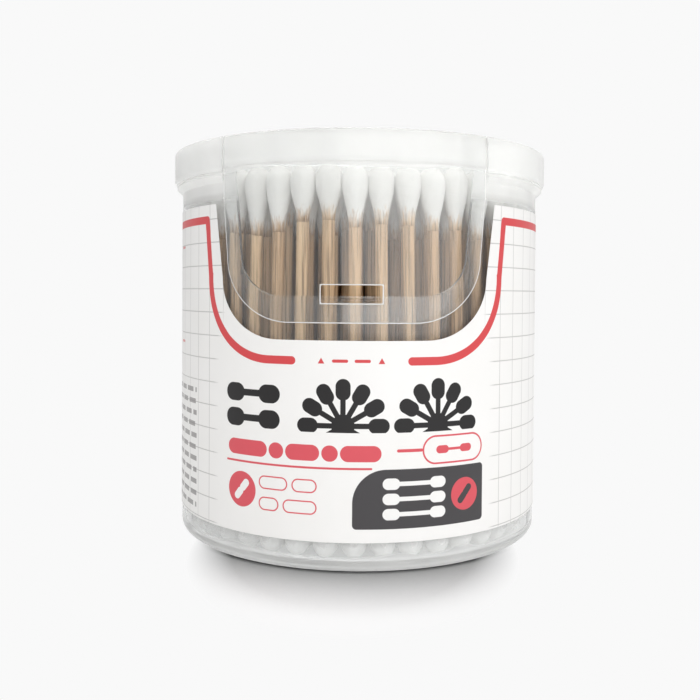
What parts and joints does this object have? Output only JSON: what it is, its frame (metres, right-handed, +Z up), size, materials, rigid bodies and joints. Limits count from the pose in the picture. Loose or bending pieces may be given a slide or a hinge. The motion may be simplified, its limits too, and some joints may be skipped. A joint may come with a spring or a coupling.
{
  "type": "cotton swab tub",
  "caption": "Round clear plastic tub packed with wooden cotton swabs, with a wrap label and a lid whose front flap lifts for dispensing.",
  "frame": {"origin": "centre of the foot ring, on the plane that the tub stands on", "axes": "+Z up along the tub's axis; the flap, the notch and the label's window face -Y"},
  "size_m": [0.0836, 0.0836, 0.082],
  "materials": {
    "clear_plastic": "clear moulded polystyrene, polished",
    "label_film": "white printed film, satin",
    "stick_wood": "bare birch, fine grain",
    "cotton": "wound cotton, matt"
  },
  "bodies": {
    "tub": {"tub": "clear_plastic", "label": "label_film", "swab_sticks_ring_1": "stick_wood", "swab_sticks_ring_2": "stick_wood", "swab_sticks_ring_3": "stick_wood", "swab_sticks_ring_4": "stick_wood", "swab_sticks_ring_5": "stick_wood", "swab_sticks_ring_6": "stick_wood", "swab_sticks_ring_7": "stick_wood", "swab_sticks_ring_8": "stick_wood", "upper_buds_ring_1": "cotton", "upper_buds_ring_2": "cotton", "upper_buds_ring_3": "cotton", "upper_buds_ring_4": "cotton", "upper_buds_ring_5": "cotton", "upper_buds_ring_6": "cotton", "upper_buds_ring_7": "cotton", "upper_buds_ring_8": "cotton", "lower_buds_ring_1": "cotton", "lower_buds_ring_2": "cotton", "lower_buds_ring_3": "cotton", "lower_buds_ring_4": "cotton", "lower_buds_ring_5": "cotton", "lower_buds_ring_6": "cotton", "lower_buds_ring_7": "cotton", "lower_buds_ring_8": "cotton"},
    "lid": {"lid": "clear_plastic"},
    "flap": {"front_flap": "clear_plastic"}
  },
  "joints": [
    {"name": "lid_lift", "type": "slide", "parent": "tub", "child": "lid", "axis": [0, 0, 1], "range_m": [0, 0.04]},
    {"name": "flap_hinge", "type": "hinge", "parent": "lid", "child": "flap", "pos_m": [0, -0.018, 0.0803], "axis": [-1, 0, 0], "range_deg": [0, 105]}
  ]
}
